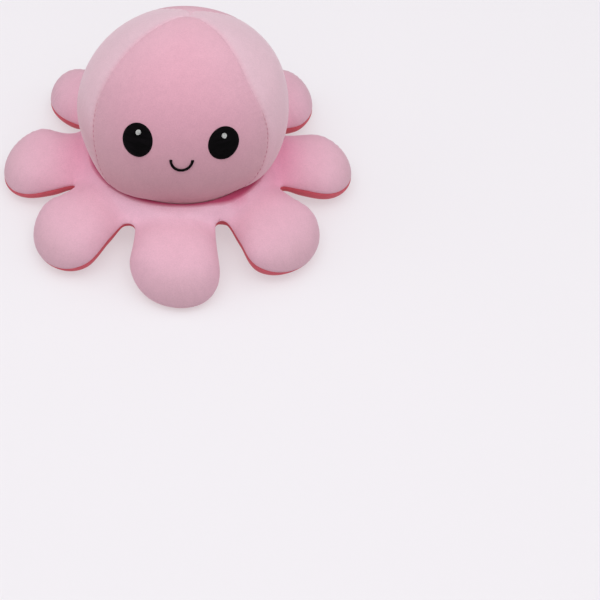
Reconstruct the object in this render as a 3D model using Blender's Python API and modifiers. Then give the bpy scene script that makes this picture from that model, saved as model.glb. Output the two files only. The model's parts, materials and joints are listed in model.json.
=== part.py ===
"""Reversible stuffed octopus, a soft toy that can be turned inside out.

Metres, +Z up, the face looks along -Y, and z = 0 is the surface that the toy rests on.
The outer skin is a four-gore head over the upper face of an eight-lobed skirt. The inner
skin is the lower face of the skirt and a second four-gore head, turned up into the first
one as a pocket that is open below. Stuffing lies between the two skins. Each lobe of the
skirt is a limb that bends at its root, about a level axis across it.
"""

import math

import bmesh
import bpy
from mathutils import Matrix, Vector

# Skins, stuffing and the clearances between pieces
SKIN = 0.0015
PIECE_GAP = 0.0003
SEAT_GAP = 0.0004
STUFFING_GAP = 0.0008
MERGE_DISTANCE = 0.00001

# Neck, where the head is sewn to the skirt
NECK_RADIUS = 0.0420
NECK_DEPTH = 0.0052

# Limbs
LIMB_COUNT = 8
SPAN = 0.200
RING_WIDTH = 0.0170
LIMB_ROOT_SPACING = 0.0075
LIMB_WIDTH = 0.0484
LIMB_ROOT_THICKNESS = 0.0250
LIMB_THICKNESS = 0.0258
LIMB_TIP_LENGTH = 0.0258
LIMB_SWELL_LENGTH = 0.0262
LIMB_LIFT = 0.0003
LIMB_DROOP = math.radians(8.5)
LIMB_RAISE = math.radians(30)
LIMB_LOWER = math.radians(30)
LIMB_EDGE_POWER = 2.2
LIMB_CROWN_POWER = 2.5

# Sockets that the roots of the limbs turn in
SOCKET_GAP = 0.0005
SWEEP_MARGIN = 0.0025

# Skirt
CROTCH_REACH = 0.0022
SHOULDER_WIDTH = 0.0077
CREST_RISE = 0.0012
CREASE_DEPTH = 0.0020
CREASE_WIDTH = 0.0016
FOOT_WIDTH = 0.0120
FOOT_INSET = 0.0050

# Head
HEAD_WIDTH = 0.1162
HEAD_HEIGHT = 0.1026
CROWN_TILT = math.radians(22)
FRONT_GORE_ANGLE = math.radians(104)

# Pocket in the head, lined with the second head
POCKET_WALL = 0.0090
POCKET_DEPTH = 0.0500
MOUTH_LIP_RISE = 0.0050
MOUTH_SEAM_HEIGHT = 0.0080

# Face on the head, in the front view
FACE_THREAD = 0.0008
EYE_SPACING = 0.0454
EYE_WIDTH = 0.0158
EYE_HEIGHT = 0.0164
EYE_RISE = 0.0195
GLINT_SIZE = 0.0030
GLINT_RISE = 0.0036
GLINT_THREAD = 0.0005
MOUTH_SPAN = 0.0116
MOUTH_DROP = 0.0060
MOUTH_STROKE = 0.0012
MOUTH_RISE = 0.0125
MOUTH_END_SHARE = 0.5

# Face on the lining of the pocket, in the front view
LINING_FACE_SEAT = 0.0007
LINING_EYE_SPACING = 0.0260
LINING_EYE_WIDTH = 0.0130
LINING_EYE_HEIGHT = 0.0150
LINING_EYE_RISE = 0.0230
LINING_BROW_RISE = 0.0020
LINING_BROW_SLANT = math.radians(14)
LINING_GLINT_OFFSET = 0.0022
LINING_GLINT_DROP = 0.0016
LINING_MOUTH_SPAN = 0.0094
LINING_MOUTH_DROP = 0.0044
LINING_MOUTH_RISE = 0.0110

# Facet counts
LIMB_SIDES = 12
LIMB_RINGS = 12
BELLY_RINGS = 48
CORE_SIDES = 10
CORE_RINGS = 8
HEAD_SIDES = 28
HEAD_RINGS = 16
CORE_HEAD_SIDES = 20
CORE_HEAD_RINGS = 12
POCKET_SIDES = 24
POCKET_RINGS = 12
TURN_STEPS = 40
SOCKET_SIDES = 24
SOCKET_RINGS = 8
EYE_SIDES = 20
EYE_RINGS = 6
GLINT_SIDES = 12
GLINT_RINGS = 4
MOUTH_PIECES = 12
EDGE_POINTS = 4
FLANK_POINTS = 3

# Sizes that follow from the ones above
HINGE_RADIUS = NECK_RADIUS + RING_WIDTH
LIMB_LENGTH = (SPAN / 2 - HINGE_RADIUS) / math.cos(LIMB_DROOP)
LIMB_ROOT_WIDTH = 2 * HINGE_RADIUS * math.tan(math.pi / LIMB_COUNT) - LIMB_ROOT_SPACING
ROOT_HALF_WIDTH = LIMB_ROOT_WIDTH / 2
ROOT_HALF_THICKNESS = LIMB_ROOT_THICKNESS / 2
CORE_INSET = SKIN + STUFFING_GAP
CROTCH_RADIUS = HINGE_RADIUS + CROTCH_REACH
CREST_RADIUS = CROTCH_RADIUS - SHOULDER_WIDTH
MOUTH_RADIUS = NECK_RADIUS - POCKET_WALL
FOOT_INNER_RADIUS = MOUTH_RADIUS + FOOT_INSET
FOOT_OUTER_RADIUS = FOOT_INNER_RADIUS + FOOT_WIDTH
HEAD_RADIUS = HEAD_WIDTH / 2
HEAD_HALF_HEIGHT = HEAD_HEIGHT / 2

COLOURS = {
    "outer_skin": (0.74, 0.42, 0.50, 1.0),
    "inner_skin": (0.78, 0.26, 0.30, 1.0),
    "filling": (0.90, 0.90, 0.88, 1.0),
    "dark_thread": (0.006, 0.005, 0.006, 1.0),
    "white_thread": (0.88, 0.88, 0.88, 1.0),
}
ROUGHNESS = {
    "outer_skin": 0.95,
    "inner_skin": 0.95,
    "filling": 1.0,
    "dark_thread": 0.55,
    "white_thread": 0.5,
}


def clear_scene():
    for old in list(bpy.data.objects):
        bpy.data.objects.remove(old, do_unlink=True)


def new_collection(name):
    collection = bpy.data.collections.new(name)
    bpy.context.scene.collection.children.link(collection)
    return collection


def make_material(node_name, finish):
    material = bpy.data.materials.new(node_name)
    material.use_nodes = True
    shader = material.node_tree.nodes["Principled BSDF"]
    shader.inputs["Base Color"].default_value = COLOURS[finish]
    shader.inputs["Roughness"].default_value = ROUGHNESS[finish]
    shader.inputs["Metallic"].default_value = 0.0
    material.diffuse_color = COLOURS[finish]
    return material


def mesh_from(bm, name):
    mesh = bpy.data.meshes.new(name)
    bm.to_mesh(mesh)
    bm.free()
    return mesh


def add_piece(name, mesh, finish, collection, parent=None):
    piece = bpy.data.objects.new(name, mesh.copy())
    piece.data.name = name
    piece.data.materials.append(make_material(name, finish))
    piece.data.shade_smooth()
    collection.objects.link(piece)
    if parent is not None:
        piece.parent = parent
    return piece


def thicken(piece, thickness, outward):
    """Give an open surface its wall, on the side that its faces look to or on the other."""
    wall = piece.modifiers.new("wall", "SOLIDIFY")
    wall.thickness = thickness
    wall.offset = 1.0 if outward else -1.0
    wall.use_even_offset = True


def cut_away(piece, cutter):
    cut = piece.modifiers.new("cut_" + cutter.name, "BOOLEAN")
    cut.operation = "DIFFERENCE"
    cut.solver = "EXACT"
    cut.object = cutter


def hide_cutter(cutter):
    cutter.hide_render = True
    cutter.display_type = "WIRE"


def smooth_step(share):
    share = min(max(share, 0.0), 1.0)
    return share * share * (3.0 - 2.0 * share)


def keep_side(bm, point, normal):
    """Trim the mesh at a plane and keep the side that the normal points to."""
    everything = bm.verts[:] + bm.edges[:] + bm.faces[:]
    bmesh.ops.bisect_plane(
        bm, geom=everything, plane_co=point, plane_no=normal, clear_inner=True
    )


def close_at(bm, point, normal):
    """Trim the mesh at a plane as keep_side does, and close it there."""
    everything = bm.verts[:] + bm.edges[:] + bm.faces[:]
    result = bmesh.ops.bisect_plane(
        bm, geom=everything, plane_co=point, plane_no=normal, clear_inner=True
    )
    rim = [item for item in result["geom_cut"] if isinstance(item, bmesh.types.BMEdge)]
    bmesh.ops.holes_fill(bm, edges=rim)


def wall_between(outer, inner):
    """Join two open surfaces along their rims into one closed wall, and return its mesh."""
    bmesh.ops.reverse_faces(inner, faces=inner.faces[:])
    outer.from_mesh(mesh_from(inner, "inner"))
    rims = [edge for edge in outer.edges if edge.is_boundary]
    bmesh.ops.bridge_loops(outer, edges=rims)
    bmesh.ops.recalc_face_normals(outer, faces=outer.faces[:])
    if outer.calc_volume(signed=True) < 0:
        bmesh.ops.reverse_faces(outer, faces=outer.faces[:])
    return mesh_from(outer, "wall")


# Limbs


def limb_fade(along, power):
    """Share of the full size that is left at a place in the rounded tip."""
    run = (along - (LIMB_LENGTH - LIMB_TIP_LENGTH)) / LIMB_TIP_LENGTH
    run = min(max(run, 0.0), 1.0)
    return math.sqrt(1.0 - run ** power)


def limb_half_width(along):
    swell = smooth_step(along / LIMB_SWELL_LENGTH)
    width = LIMB_ROOT_WIDTH + (LIMB_WIDTH - LIMB_ROOT_WIDTH) * swell
    return width / 2 * limb_fade(along, LIMB_EDGE_POWER)


def limb_half_thickness(along):
    swell = smooth_step(along / LIMB_SWELL_LENGTH)
    thickness = LIMB_ROOT_THICKNESS + (LIMB_THICKNESS - LIMB_ROOT_THICKNESS) * swell
    return thickness / 2 * limb_fade(along, LIMB_CROWN_POWER)


def limb_belly_drop():
    """How far the lowest point of a limb lies below its hinge, as it hangs at rest."""
    drops = []
    for ring in range(BELLY_RINGS):
        along = LIMB_LENGTH * ring / BELLY_RINGS
        sag = along * math.sin(LIMB_DROOP)
        drops.append(sag + limb_half_thickness(along) * math.cos(LIMB_DROOP))
    return max(drops)


HINGE_HEIGHT = limb_belly_drop() + LIMB_LIFT
CREST_HEIGHT = HINGE_HEIGHT + ROOT_HALF_THICKNESS + CREST_RISE
NECK_HEIGHT = CREST_HEIGHT - NECK_DEPTH


def limb_point(unit, inset):
    """Place a point of the unit sphere, poles along X, on the limb drawn in by an inset.

    Behind the hinge the limb is an ellipsoid of revolution about the hinge's own axis, so
    that it turns in its socket. Beyond the hinge it swells, and ends in a round tip.
    """
    ring = math.hypot(unit.y, unit.z)
    side = unit.y / ring if ring > 0 else 0.0
    rise = unit.z / ring if ring > 0 else 0.0
    width_share = (ROOT_HALF_WIDTH - inset) / ROOT_HALF_WIDTH
    thickness_share = (ROOT_HALF_THICKNESS - inset) / ROOT_HALF_THICKNESS
    if unit.x < 0:
        half_width = ROOT_HALF_WIDTH * ring
        half_thickness = ROOT_HALF_THICKNESS * ring
        along = (ROOT_HALF_THICKNESS - inset) * unit.x
    else:
        half_width = limb_half_width(LIMB_LENGTH * unit.x)
        half_thickness = limb_half_thickness(LIMB_LENGTH * unit.x)
        along = (LIMB_LENGTH - inset) * unit.x
    across = half_width * width_share * side
    up = half_thickness * thickness_share * rise
    return Vector((along, across, up))


def limb_surface(sides, rings, inset):
    bm = bmesh.new()
    bmesh.ops.create_uvsphere(bm, u_segments=sides, v_segments=rings, radius=1.0)
    bmesh.ops.rotate(bm, verts=bm.verts[:], matrix=Matrix.Rotation(math.pi / 2, 3, "Y"))
    for vertex in bm.verts:
        vertex.co = limb_point(vertex.co, inset)
    return bm


def droop(bm):
    lean = Matrix.Rotation(LIMB_DROOP, 3, "Y")
    bmesh.ops.rotate(bm, verts=bm.verts[:], matrix=lean)


def limb_skin(upper):
    """Upper or lower half of a limb's skin, which ends at the seam round its edge."""
    side = 1.0 if upper else -1.0
    faces = []
    for inset in (0.0, SKIN):
        bm = limb_surface(LIMB_SIDES, LIMB_RINGS, inset)
        keep_side(bm, (0.0, 0.0, side * PIECE_GAP / 2), (0.0, 0.0, side))
        droop(bm)
        faces.append(bm)
    return wall_between(*faces)


def limb_core():
    bm = limb_surface(CORE_SIDES, CORE_RINGS, CORE_INSET)
    droop(bm)
    return mesh_from(bm, "limb_core")


def limb_angle(index):
    """Heading of a limb from +X. The first limb points to the front."""
    return -math.pi / 2 + 2 * math.pi * index / LIMB_COUNT


def hinge_matrix(index):
    heading = limb_angle(index)
    place = Vector((math.cos(heading), math.sin(heading), 0.0)) * HINGE_RADIUS
    place.z = HINGE_HEIGHT
    return Matrix.Translation(place) @ Matrix.Rotation(heading, 4, "Z")


def build_limbs(collection):
    upper = limb_skin(True)
    lower = limb_skin(False)
    core = limb_core()
    for index in range(LIMB_COUNT):
        name = f"limb_{index + 1}"
        hinge = bpy.data.objects.new(name + "_hinge", None)
        hinge.matrix_world = hinge_matrix(index)
        hinge.empty_display_size = ROOT_HALF_WIDTH
        collection.objects.link(hinge)
        add_piece(name + "_upper_skin", upper, "outer_skin", collection, hinge)
        add_piece(name + "_lower_skin", lower, "inner_skin", collection, hinge)
        add_piece(name + "_filling", core, "filling", collection, hinge)


# Sockets


def socket_point(unit):
    """Place a point of the unit sphere, poles along Y, on the space a turning root needs.

    Inward of the hinge the space follows the root. Above, below and outward it is wider,
    so that the limb can rise and drop between the two edges of the socket.
    """
    turn = math.atan2(unit.z, unit.x)
    half_step = math.pi / SOCKET_SIDES
    if turn > math.pi / 2 + LIMB_RAISE + half_step:
        reach = ROOT_HALF_THICKNESS + SOCKET_GAP
    elif turn < -math.pi / 2 - LIMB_LOWER - half_step:
        reach = ROOT_HALF_THICKNESS + SOCKET_GAP
    elif turn < 0:
        reach = HINGE_HEIGHT / math.cos(LIMB_LOWER) + SWEEP_MARGIN
    else:
        reach = ROOT_HALF_THICKNESS / math.cos(LIMB_RAISE) + SWEEP_MARGIN
    half_width = ROOT_HALF_WIDTH + SOCKET_GAP
    return Vector((unit.x * reach, unit.y * half_width, unit.z * reach))


def build_socket_cutter(collection):
    """One closed body for each limb, all in one cutter."""
    bm = bmesh.new()
    for index in range(LIMB_COUNT):
        made = bmesh.ops.create_uvsphere(
            bm, u_segments=SOCKET_SIDES, v_segments=SOCKET_RINGS, radius=1.0
        )
        bmesh.ops.rotate(bm, verts=made["verts"], matrix=Matrix.Rotation(math.pi / 2, 3, "X"))
        place = hinge_matrix(index)
        for vertex in made["verts"]:
            vertex.co = place @ socket_point(vertex.co)
    cutter = bpy.data.objects.new("sockets", mesh_from(bm, "sockets"))
    collection.objects.link(cutter)
    hide_cutter(cutter)
    return cutter


# Skirt


def head_centre():
    """Height at which the head's ellipsoid has the neck's radius at the neck's height."""
    share = NECK_RADIUS / HEAD_RADIUS
    return NECK_HEIGHT + HEAD_HALF_HEIGHT * math.sqrt(1.0 - share * share)


HEAD_CENTRE = head_centre()


def head_radius_at(height):
    share = (height - HEAD_CENTRE) / HEAD_HALF_HEIGHT
    return HEAD_RADIUS * math.sqrt(max(1.0 - share * share, 0.0))


def skirt_top_profile(inset):
    """Radius and height from the neck seam over the crest to the seam at the edge."""
    crest = CREST_HEIGHT - inset
    low = NECK_HEIGHT
    high = crest - CREASE_DEPTH
    points = []
    for step in range(FLANK_POINTS):
        height = low + (high - low) * step / (FLANK_POINTS - 1)
        points.append((head_radius_at(height) + SEAT_GAP + inset, height))
    points.append((head_radius_at(crest) + SEAT_GAP + CREASE_WIDTH + inset, crest))
    for step in range(EDGE_POINTS + 1):
        turn = math.pi / 2 * (1.0 - step / EDGE_POINTS)
        radius = CREST_RADIUS + (CROTCH_RADIUS - inset - CREST_RADIUS) * math.cos(turn)
        points.append((radius, HINGE_HEIGHT + (crest - HINGE_HEIGHT) * math.sin(turn)))
    return points


def skirt_bottom_profile(inset):
    """Radius and height from the seam at the edge, round the foot, to the pocket's mouth."""
    points = []
    for step in range(EDGE_POINTS + 1):
        turn = math.pi / 2 * step / EDGE_POINTS
        reach = CROTCH_RADIUS - inset - FOOT_OUTER_RADIUS
        radius = FOOT_OUTER_RADIUS + reach * math.cos(turn)
        points.append((radius, HINGE_HEIGHT - (HINGE_HEIGHT - inset) * math.sin(turn)))
    points.append((FOOT_INNER_RADIUS, inset))
    points.append((MOUTH_RADIUS + inset, MOUTH_LIP_RISE + inset))
    points.append((MOUTH_RADIUS + inset, MOUTH_SEAM_HEIGHT - PIECE_GAP))
    return points


def skin_section(profile, end, lift):
    """Closed section of a skin that follows a profile, one end moved clear of its seam."""
    face = profile(0.0)
    back = profile(SKIN)
    face[end] = (face[end][0], face[end][1] + lift)
    back[end] = (back[end][0], back[end][1] + lift)
    return face + back[::-1]


def section_mesh(points):
    bm = bmesh.new()
    vertices = [bm.verts.new((radius, 0.0, height)) for radius, height in points]
    for first, second in zip(vertices, vertices[1:] + vertices[:1]):
        bm.edges.new((first, second))
    return mesh_from(bm, "section")


def turn_about_z(piece):
    screw = piece.modifiers.new("turn", "SCREW")
    screw.axis = "Z"
    screw.angle = 2 * math.pi
    screw.steps = TURN_STEPS
    screw.render_steps = TURN_STEPS
    screw.use_merge_vertices = True
    screw.merge_threshold = MERGE_DISTANCE
    screw.use_smooth_shade = True


def add_turned(name, section, finish, collection, sockets):
    piece = add_piece(name, section_mesh(section), finish, collection)
    turn_about_z(piece)
    cut_away(piece, sockets)


def build_skirt(collection, sockets):
    upper = skin_section(skirt_top_profile, -1, PIECE_GAP / 2)
    add_turned("skirt_upper_skin", upper, "outer_skin", collection, sockets)
    lower = skin_section(skirt_bottom_profile, 0, -PIECE_GAP / 2)
    add_turned("skirt_lower_skin", lower, "inner_skin", collection, sockets)
    core = skirt_top_profile(CORE_INSET)
    core += skirt_bottom_profile(CORE_INSET)[1:-1]
    core.append((MOUTH_RADIUS + CORE_INSET, NECK_HEIGHT))
    add_turned("skirt_filling", core, "filling", collection, sockets)


# Head and pocket


def gore_surface(sides, rings, middle, angle, seam_share):
    """One gore of a unit sphere, from pole to pole, trimmed clear of its two seams."""
    bm = bmesh.new()
    bmesh.ops.create_uvsphere(bm, u_segments=sides, v_segments=rings, radius=1.0)
    for side in (-1.0, 1.0):
        seam = middle + side * angle / 2
        inward = Vector((side * math.sin(seam), -side * math.cos(seam), 0.0))
        keep_side(bm, inward * seam_share, inward)
    return bm


def stretch(bm, radius, half_height, tilt, centre):
    """Turn a unit sphere's mesh into an ellipsoid whose gores meet at a tilted crown."""
    lean = Matrix.Rotation(-tilt, 4, "X")
    size = Matrix.Diagonal((radius, radius, half_height, 1.0))
    place = Matrix.Translation((0.0, 0.0, centre))
    bmesh.ops.transform(bm, matrix=place @ size @ lean, verts=bm.verts[:])


GORES = (
    ("front", -math.pi / 2, FRONT_GORE_ANGLE),
    ("left", 0.0, math.pi - FRONT_GORE_ANGLE),
    ("back", math.pi / 2, FRONT_GORE_ANGLE),
    ("right", math.pi, math.pi - FRONT_GORE_ANGLE),
)


def build_head(collection):
    floor = NECK_HEIGHT + SEAT_GAP
    for side, middle, angle in GORES:
        faces = []
        for inset in (0.0, SKIN):
            radius = HEAD_RADIUS - inset
            bm = gore_surface(HEAD_SIDES, HEAD_RINGS, middle, angle, PIECE_GAP / 2 / radius)
            stretch(bm, radius, HEAD_HALF_HEIGHT - inset, CROWN_TILT, HEAD_CENTRE)
            keep_side(bm, (0.0, 0.0, floor), (0.0, 0.0, 1.0))
            faces.append(bm)
        add_piece("head_gore_" + side, wall_between(*faces), "outer_skin", collection)


def build_pocket(collection):
    for side, middle, angle in GORES:
        faces = []
        for outset in (SKIN, 0.0):
            radius = MOUTH_RADIUS + outset
            bm = gore_surface(POCKET_SIDES, POCKET_RINGS, middle, angle, PIECE_GAP / 2 / radius)
            keep_side(bm, (0.0, 0.0, 0.0), (0.0, 0.0, 1.0))
            stretch(bm, radius, POCKET_DEPTH + outset, 0.0, MOUTH_SEAM_HEIGHT)
            faces.append(bm)
        add_piece("pocket_gore_" + side, wall_between(*faces), "inner_skin", collection)


def build_pocket_cutter(collection):
    bm = bmesh.new()
    bmesh.ops.create_uvsphere(bm, u_segments=POCKET_SIDES, v_segments=POCKET_RINGS, radius=1.0)
    reach = MOUTH_RADIUS + CORE_INSET
    stretch(bm, reach, POCKET_DEPTH + CORE_INSET, 0.0, MOUTH_SEAM_HEIGHT)
    cutter = bpy.data.objects.new("pocket_space", mesh_from(bm, "pocket_space"))
    collection.objects.link(cutter)
    hide_cutter(cutter)
    return cutter


def build_head_core(collection, pocket_space):
    bm = bmesh.new()
    bmesh.ops.create_uvsphere(
        bm, u_segments=CORE_HEAD_SIDES, v_segments=CORE_HEAD_RINGS, radius=1.0
    )
    radius = HEAD_RADIUS - CORE_INSET
    stretch(bm, radius, HEAD_HALF_HEIGHT - CORE_INSET, CROWN_TILT, HEAD_CENTRE)
    close_at(bm, (0.0, 0.0, NECK_HEIGHT + SEAT_GAP), (0.0, 0.0, 1.0))
    core = add_piece("head_filling", mesh_from(bm, "head_core"), "filling", collection)
    cut_away(core, pocket_space)


# Faces


class Front:
    """The front of an ellipsoid seen along Y, which embroidery is laid on."""

    def __init__(self, radius, half_height, centre):
        self.radius = radius
        self.half_height = half_height
        self.centre = centre

    def point(self, across, rise):
        share = (across / self.radius) ** 2 + (rise / self.half_height) ** 2
        depth = self.radius * math.sqrt(1.0 - share)
        return Vector((across, -depth, self.centre + rise))


def unit_disc(sides, rings):
    """A flat disc of radius 1 in rings and spokes, its faces looking to -Y."""
    bm = bmesh.new()
    bmesh.ops.create_uvsphere(bm, u_segments=sides, v_segments=rings, radius=1.0)
    keep_side(bm, (0.0, 0.0, 0.0), (0.0, 0.0, 1.0))
    for vertex in bm.verts:
        vertex.co.z = 0.0
    bmesh.ops.rotate(bm, verts=bm.verts[:], matrix=Matrix.Rotation(math.pi / 2, 3, "X"))
    return bm


def lay_oval(bm, front, across, rise, width, height):
    for vertex in bm.verts:
        vertex.co = front.point(across + vertex.co.x * width / 2, rise + vertex.co.z * height / 2)
    return mesh_from(bm, "oval")


def lay_arc(front, span, drop, rise, stroke, smiling):
    """A curved stroke of thread. Its ends are at the rise, its middle lower or higher."""
    bm = bmesh.new()
    bmesh.ops.create_grid(bm, x_segments=MOUTH_PIECES, y_segments=2, size=1.0)
    bend = -1.0 if smiling else 1.0
    for vertex in bm.verts:
        turn = math.pi / 2 * vertex.co.x
        swell = math.sqrt(max(1.0 - vertex.co.x ** 2, 0.0))
        fullness = MOUTH_END_SHARE + (1.0 - MOUTH_END_SHARE) * swell
        off = vertex.co.y * stroke / 2 * fullness
        across = (span / 2 + off) * math.sin(turn)
        up = rise + bend * (drop + off) * math.cos(turn)
        vertex.co = front.point(across, up)
    bm.normal_update()
    if sum(face.normal.y for face in bm.faces) > 0:
        bmesh.ops.reverse_faces(bm, faces=bm.faces[:])
    return mesh_from(bm, "arc")


def build_face(collection):
    base = SEAT_GAP
    front = Front(HEAD_RADIUS + base, HEAD_HALF_HEIGHT + base, HEAD_CENTRE)
    base += FACE_THREAD + SEAT_GAP
    over = Front(HEAD_RADIUS + base, HEAD_HALF_HEIGHT + base, HEAD_CENTRE)
    for name, side in (("left", 1.0), ("right", -1.0)):
        across = side * EYE_SPACING / 2
        disc = unit_disc(EYE_SIDES, EYE_RINGS)
        mesh = lay_oval(disc, front, across, EYE_RISE, EYE_WIDTH, EYE_HEIGHT)
        thicken(add_piece("eye_" + name, mesh, "dark_thread", collection), FACE_THREAD, True)
        disc = unit_disc(GLINT_SIDES, GLINT_RINGS)
        mesh = lay_oval(disc, over, across, EYE_RISE + GLINT_RISE, GLINT_SIZE, GLINT_SIZE)
        glint = add_piece("eye_glint_" + name, mesh, "white_thread", collection)
        thicken(glint, GLINT_THREAD, True)
    mesh = lay_arc(front, MOUTH_SPAN, MOUTH_DROP, MOUTH_RISE, MOUTH_STROKE, True)
    thicken(add_piece("mouth", mesh, "dark_thread", collection), FACE_THREAD, True)


def build_lining_face(collection):
    inset = LINING_FACE_SEAT
    front = Front(MOUTH_RADIUS - inset, POCKET_DEPTH - inset, MOUTH_SEAM_HEIGHT)
    inset += FACE_THREAD + SEAT_GAP
    over = Front(MOUTH_RADIUS - inset, POCKET_DEPTH - inset, MOUTH_SEAM_HEIGHT)
    for name, side in (("left", 1.0), ("right", -1.0)):
        across = side * LINING_EYE_SPACING / 2
        disc = unit_disc(EYE_SIDES, EYE_RINGS)
        brow = LINING_BROW_RISE / (LINING_EYE_HEIGHT / 2)
        slant = side * LINING_BROW_SLANT
        keep_side(disc, (0.0, 0.0, brow), (math.sin(slant), 0.0, -math.cos(slant)))
        mesh = lay_oval(disc, front, across, LINING_EYE_RISE, LINING_EYE_WIDTH, LINING_EYE_HEIGHT)
        eye = add_piece("pocket_eye_" + name, mesh, "dark_thread", collection)
        thicken(eye, FACE_THREAD, False)
        disc = unit_disc(GLINT_SIDES, GLINT_RINGS)
        place = across + LINING_GLINT_OFFSET
        rise = LINING_EYE_RISE - LINING_GLINT_DROP
        mesh = lay_oval(disc, over, place, rise, GLINT_SIZE, GLINT_SIZE)
        glint = add_piece("pocket_eye_glint_" + name, mesh, "white_thread", collection)
        thicken(glint, GLINT_THREAD, False)
    span = LINING_MOUTH_SPAN
    mesh = lay_arc(front, span, LINING_MOUTH_DROP, LINING_MOUTH_RISE, MOUTH_STROKE, False)
    thicken(add_piece("pocket_mouth", mesh, "dark_thread", collection), FACE_THREAD, False)


def main():
    clear_scene()
    pieces = new_collection("stuffed_octopus")
    cutters = new_collection("cutters")
    sockets = build_socket_cutter(cutters)
    pocket_space = build_pocket_cutter(cutters)
    build_limbs(pieces)
    build_skirt(pieces, sockets)
    build_head(pieces)
    build_pocket(pieces)
    build_head_core(pieces, pocket_space)
    build_face(pieces)
    build_lining_face(pieces)


main()
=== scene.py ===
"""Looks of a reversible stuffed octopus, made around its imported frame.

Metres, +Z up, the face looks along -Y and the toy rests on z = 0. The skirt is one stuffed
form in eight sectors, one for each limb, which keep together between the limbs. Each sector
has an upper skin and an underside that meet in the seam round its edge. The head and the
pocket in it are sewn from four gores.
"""

import json
import math

import bmesh
import bpy
import numpy as np
from mathutils import Matrix, Vector

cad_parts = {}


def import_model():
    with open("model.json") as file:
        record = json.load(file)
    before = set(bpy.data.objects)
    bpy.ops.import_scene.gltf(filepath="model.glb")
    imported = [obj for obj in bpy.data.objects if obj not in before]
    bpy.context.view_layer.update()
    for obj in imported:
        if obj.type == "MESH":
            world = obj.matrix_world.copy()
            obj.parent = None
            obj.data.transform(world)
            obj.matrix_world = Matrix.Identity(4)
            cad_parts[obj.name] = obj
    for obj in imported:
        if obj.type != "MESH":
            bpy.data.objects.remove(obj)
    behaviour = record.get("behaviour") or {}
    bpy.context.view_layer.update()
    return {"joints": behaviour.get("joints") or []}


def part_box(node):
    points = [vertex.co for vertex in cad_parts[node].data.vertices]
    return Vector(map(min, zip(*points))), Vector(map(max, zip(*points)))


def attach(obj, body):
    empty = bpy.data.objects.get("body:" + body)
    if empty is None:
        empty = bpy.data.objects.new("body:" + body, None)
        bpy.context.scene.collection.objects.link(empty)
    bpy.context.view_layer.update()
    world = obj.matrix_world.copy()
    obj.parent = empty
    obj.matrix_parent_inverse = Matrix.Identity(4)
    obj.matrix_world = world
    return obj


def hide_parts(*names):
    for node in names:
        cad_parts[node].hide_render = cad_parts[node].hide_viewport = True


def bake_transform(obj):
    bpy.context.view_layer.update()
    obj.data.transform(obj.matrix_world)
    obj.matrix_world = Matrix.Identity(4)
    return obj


# Camera, as the photograph was taken
PHOTO_SIZE = 600
CAMERA_ELEVATION = math.radians(44.8)
CAMERA_ORBIT = math.radians(1.96)
CAMERA_DISTANCE = 1.023
SENSOR = 0.036
LENS = 0.1074
AIM_HEIGHT = 0.0178
AIM_PIXEL = (181.6, 159.2)

# Skins
SKIN = 0.0014
PRESSED_REACH = 0.0030
PRESSED_SHARE = 0.03

# Skirt, seen from above. Tables have a value for each limb, from the front one on,
# counter-clockwise, or for each crotch, from the one after the front limb on.
HALF_WIDTH = 0.0242
WIDEST = 0.0848
TIP_LENGTH = 0.0258
TIP_POWER = 2.4
CROTCH_RADIUS = 0.0612
LIMB_TURNS = tuple(math.radians(x) for x in (-0.8, 0.8, 1.2, -0.8, 0.0, 3.6, 0.2, -2.9))
CROTCH_TURNS = tuple(math.radians(x) for x in (1.8, 1.1, -0.8, 0.0, 0.0, 1.0, 1.1, -1.9))
LIMB_REACH_SHARES = (0.995, 0.982, 0.973, 1.014, 1.0, 1.031, 1.007, 1.007)
LIMB_WIDTH_SHARES = (1.042, 1.104, 0.949, 0.945, 1.0, 0.81, 1.002, 1.012)
TIP_SLANT_SHARES = (0.116, -0.045, -0.052, 0.34, 0.0, -0.34, 0.078, 0.126)
CROTCH_SHARES = (0.90, 0.982, 0.96, 1.0, 1.0, 1.01, 1.04, 0.965)
CROTCH_FILLETS = (0.0038, 0.0022, 0.0030, 0.0055, 0.0066, 0.0050, 0.0014, 0.0044)

# Skirt, in section
FULL_DEPTH = 0.0170
HALF_THICKNESS = 0.0129
RING_RISE = 0.0016
RING_REACH = 0.0580
RING_FILL_SHARE = 0.8
SAG_START = 0.0580
SAG_RUN = 0.0060
SAG_ANGLE = math.radians(8.5)
FLOOR_GAP = 0.0002
EDGE_GROOVE = 0.0006
EDGE_GROOVE_REACH = 0.0016
EDGE_PUCKER = 0.0006
EDGE_PUCKER_COUNT = 29
EDGE_PUCKER_REACH = 0.0045
SEAM_DROP_SHARE = 0.10
SEAM_DROP_START = 0.0700
TIP_DROP_SHARES = (0.52, 0.34, 0.18, 0.25, 0.25, 0.25, 0.30, 0.34)
CROTCH_RAISE_SHARES = (0.28, 0.08, 0.08, 0.08, 0.08, 0.08, 0.08, 0.20)
CROTCH_RAISE_REACH = 0.0100
UPPER_THIN_SHARE = 0.30
LOWER_THIN_SHARES = (0.75, 0.35, 0.60, 0.60, 0.60, 0.60, 0.35, 0.75)
LOWER_THIN_RUN = 0.0075
CROTCH_THIN_REACH = 0.0130
THIN_START = 0.0515
THIN_RUN = 0.0060
TUCK_START = 0.0600
TUCK_RUN = 0.0120
SIDE_LIFT_SHARES = ((0, 0), (0.28, 0), (0.12, 0), (0, 0), (0, 0), (0, 0), (0, 0), (0, 0.15))
UNDER_POWERS = ((3, 3), (1, 2.6), (1, 1), (1, 1), (1, 1), (1, 1), (1, 1), (2.6, 1))

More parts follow.
